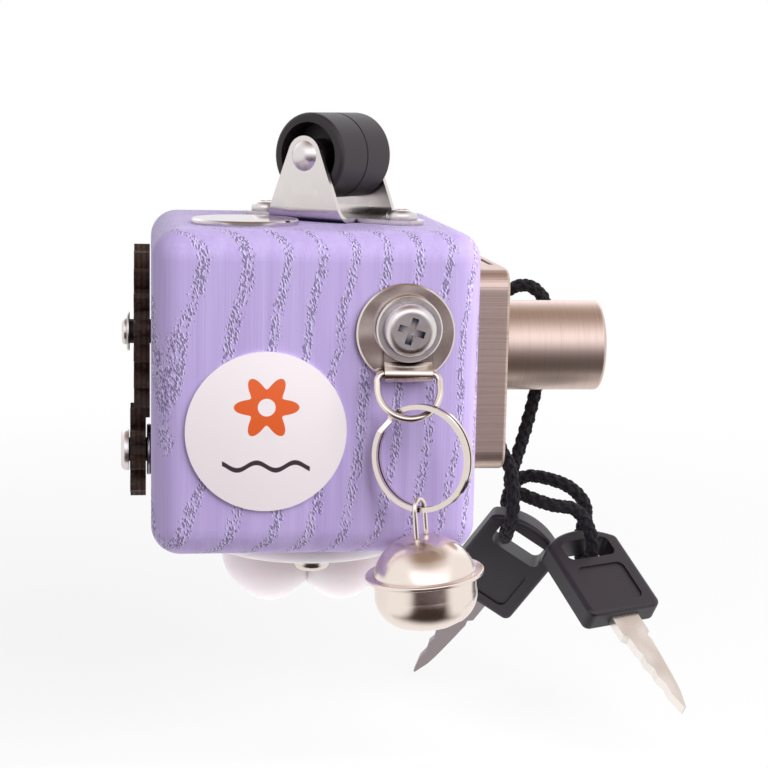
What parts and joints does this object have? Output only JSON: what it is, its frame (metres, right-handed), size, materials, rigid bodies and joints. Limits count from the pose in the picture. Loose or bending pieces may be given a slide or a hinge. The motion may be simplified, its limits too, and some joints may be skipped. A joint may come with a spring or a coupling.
{
  "type": "wooden activity cube",
  "caption": "Lilac wooden activity cube to fidget with: jingle bell on a ring, spinning caster wheel, drawer lock with keys on a cord, meshing gears and soft push bubbles.",
  "frame": {"origin": "centre of the wooden cube, where a hand holds it", "axes": "+X to the face with the lock, +Y to the bare back face, +Z to the face with the caster; the badge and bell are on the -Y face"},
  "size_m": [0.1057, 0.0789, 0.1195],
  "materials": {
    "painted_wood": "brushed lilac paint with darker open grain",
    "badge_resin": "clear domed resin over white",
    "mirror": "polished",
    "nickel_plate": "warm bright nickel plate",
    "bell_nickel": "polished nickel plate",
    "pea_steel": "plain steel ball",
    "zinc_steel": "bright zinc plate",
    "lock_nickel": "satin nickel plate",
    "wafer_brass": "stamped brass",
    "stained_plywood": "dark stained and laser cut",
    "black_plastic": "moulded matt black",
    "silicone": "translucent white, satin",
    "braided_cord": "dark braided polyester",
    "key_head_plastic": "moulded black, lightly grained",
    "key_steel": "stamped bright steel"
  },
  "bodies": {
    "cube": {"wooden_cube": "painted_wood", "badge": "badge_resin", "mirror_disc": "mirror", "hanger_washer_large": "nickel_plate", "hanger_strap": "nickel_plate", "hanger_washer_small": "nickel_plate", "hanger_screw": "nickel_plate", "caster_bracket": "zinc_steel", "caster_screws": "zinc_steel", "caster_axle": "zinc_steel", "small_gear_spacer": "zinc_steel", "large_gear_bush": "black_plastic", "small_gear_bush": "black_plastic", "large_gear_washer": "zinc_steel", "large_gear_screw": "zinc_steel", "small_gear_screw": "zinc_steel", "lock_case": "lock_nickel", "lock_back_plate": "zinc_steel", "lock_screws": "zinc_steel", "pad_base": "silicone", "pad_screws": "nickel_plate", "cord_eye": "zinc_steel", "cord_knot": "braided_cord", "key_cord": "braided_cord"},
    "d_ring_body": {"d_ring": "nickel_plate"},
    "split_ring_body": {"split_ring": "nickel_plate"},
    "bell_body": {"bell_upper": "bell_nickel", "bell_lower": "bell_nickel", "bell_loop": "bell_nickel"},
    "pea_body": {"bell_pea": "pea_steel"},
    "wheel_body": {"caster_wheel": "black_plastic"},
    "large_gear_body": {"large_gear": "stained_plywood"},
    "small_gear_body": {"small_gear": "stained_plywood"},
    "plug_body": {"lock_plug": "lock_nickel", "lock_wafers": "wafer_brass", "lock_drive_pin": "zinc_steel"},
    "bolt_body": {"lock_bolt": "lock_nickel"},
    "bubble_left_body": {"bubble_left": "silicone"},
    "bubble_right_body": {"bubble_right": "silicone"},
    "key_1_body": {"key_1_head": "key_head_plastic", "key_1_blade": "key_steel"},
    "key_2_body": {"key_2_head": "key_head_plastic", "key_2_blade": "key_steel"}
  },
  "joints": [
    {"name": "d_ring_swing", "type": "hinge", "parent": "cube", "child": "d_ring_body", "pos_m": [0.0159, -0.03266, 0.0047], "axis": [-1, 0, 0], "range_deg": [0, 70]},
    {"name": "split_ring_swing", "type": "hinge", "parent": "d_ring_body", "child": "split_ring_body", "pos_m": [0.0159, -0.0355, -0.0024], "axis": [-1, 0, 0], "range_deg": [0, 25]},
    {"name": "bell_swing", "type": "hinge", "parent": "split_ring_body", "child": "bell_body", "pos_m": [0.01772, -0.03809, -0.01894], "axis": [-0.809, 0.5878, 0], "range_deg": [0, 40]},
    {"name": "pea_roll", "type": "slide", "parent": "bell_body", "child": "pea_body", "axis": [0.9949, 0, 0.1011], "range_m": [-0.0013, 0.0013]},
    {"name": "wheel_spin", "type": "hinge", "parent": "cube", "child": "wheel_body", "pos_m": [0.0052, 0.0015, 0.0425], "axis": [0.6691, 0.7431, 0], "continuous": true},
    {"name": "large_gear_spin", "type": "hinge", "parent": "cube", "child": "large_gear_body", "pos_m": [-0.0317, 0, 0.008], "axis": [-1, 0, 0], "continuous": true},
    {"name": "small_gear_spin", "type": "hinge", "parent": "cube", "child": "small_gear_body", "pos_m": [-0.0325, 0, -0.01537], "axis": [-1, 0, 0], "continuous": true},
    {"name": "plug_turn", "type": "hinge", "parent": "cube", "child": "plug_body", "pos_m": [0.058, 0, 0.0055], "axis": [1, 0, 0], "range_deg": [0, 180]},
    {"name": "bolt_slide", "type": "slide", "parent": "cube", "child": "bolt_body", "axis": [0, 0, 1], "range_m": [0, 0.008]},
    {"name": "bubble_left_push", "type": "slide", "parent": "cube", "child": "bubble_left_body", "axis": [0, 0, 1], "range_m": [0, 0.005]},
    {"name": "bubble_right_push", "type": "slide", "parent": "cube", "child": "bubble_right_body", "axis": [0, 0, 1], "range_m": [0, 0.005]},
    {"name": "key_1_swing", "type": "hinge", "parent": "cube", "child": "key_1_body", "pos_m": [0.0558, -0.00094, -0.03509], "axis": [0.9367, 0.3492, 0.0262], "range_deg": [-15, 15]},
    {"name": "key_2_swing", "type": "hinge", "parent": "cube", "child": "key_2_body", "pos_m": [0.04777, 0.00459, -0.03318], "axis": [0.834, -0.0972, -0.5432], "range_deg": [-15, 15]}
  ],
  "couplings": [
    {"joint": "small_gear_spin", "follows": "large_gear_spin", "ratio": -2},
    {"joint": "bolt_slide", "follows": "plug_turn", "m_per_rad": 0.0025465}
  ]
}
